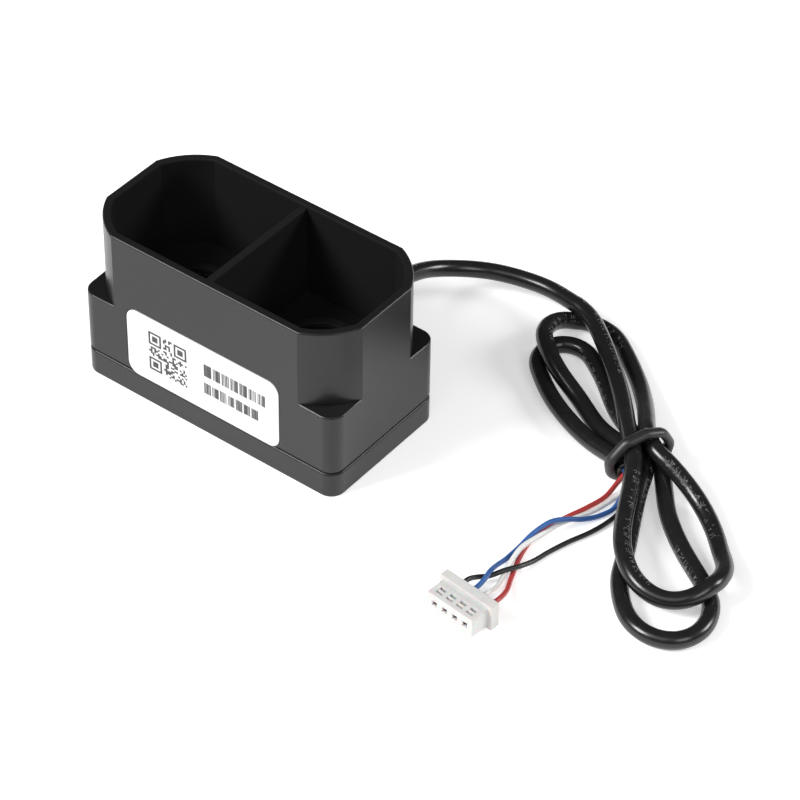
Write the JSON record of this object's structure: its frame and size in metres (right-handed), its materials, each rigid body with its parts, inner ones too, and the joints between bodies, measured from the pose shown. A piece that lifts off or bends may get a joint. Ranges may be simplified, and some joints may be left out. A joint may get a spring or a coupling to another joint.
{
  "type": "fixed laser rangefinder module",
  "caption": "Fixed laser rangefinder: black moulded body with a tall hood holding two deep optical wells, base cover, bound cable and a small crimp plug.",
  "frame": {"origin": "centre of the base cover's flat mounting face", "axes": "+X along the body, with the receiver's well at +X and the emitter's at -X; +Y to the rear, where the cable leaves; +Z out of the wells, the measuring direction"},
  "size_m": [0.112, 0.0712, 0.03],
  "materials": {
    "black_moulding": "fine satin moulded black plastic",
    "seal_rubber": "matt black foam or rubber",
    "screw_steel": "zinc-plated steel",
    "insert_brass": "machined brass",
    "label_film": "matt white film with grey-black print",
    "circuit_board": "green solder mask",
    "ceramic_package": "tan ceramic",
    "chip_epoxy": "black moulding compound",
    "gilt_can": "gold-plated can",
    "tin_plate": "bright tin plate",
    "ferrite": "dark grey ferrite",
    "natural_nylon": "natural white nylon",
    "black_anodised": "black anodised, matt",
    "coated_glass": "clear glass with a faint coating",
    "filter_glass": "dark infrared-pass filter glass",
    "jacket_pvc": "satin black jacket",
    "tie_rubber": "matt black rubber band",
    "wire_black_pvc": "black wire insulation",
    "wire_blue_pvc": "blue wire insulation",
    "wire_white_pvc": "white wire insulation",
    "wire_red_pvc": "red wire insulation"
  },
  "bodies": {
    "root": {"housing": "black_moulding", "base_cover": "black_moulding", "base_gasket": "seal_rubber", "base_screws": "screw_steel", "mounting_inserts": "insert_brass", "label": "label_film", "main_pcb": "circuit_board", "pcb_screws": "screw_steel", "laser_emitter": "ceramic_package", "laser_driver": "chip_epoxy", "photodetector": "gilt_can", "detector_shield": "tin_plate", "signal_processor": "chip_epoxy", "power_inductor": "ferrite", "chip_capacitors": "ceramic_package", "board_connector": "natural_nylon", "inner_leads": "wire_black_pvc", "baffle_foam": "seal_rubber", "emitter_barrel": "black_anodised", "emitter_lens": "coated_glass", "emitter_retainer": "black_anodised", "receiver_barrel": "black_anodised", "receiver_filter": "filter_glass", "receiver_lens": "coated_glass", "receiver_retainer": "black_anodised", "cable_grommet": "jacket_pvc", "cable_lead": "jacket_pvc", "cable_hank": "jacket_pvc", "cable_tie": "tie_rubber", "wire_black": "wire_black_pvc", "wire_blue": "wire_blue_pvc", "wire_white": "wire_white_pvc", "wire_red": "wire_red_pvc", "plug_housing": "natural_nylon", "plug_terminals": "tin_plate"}
  },
  "joints": []
}
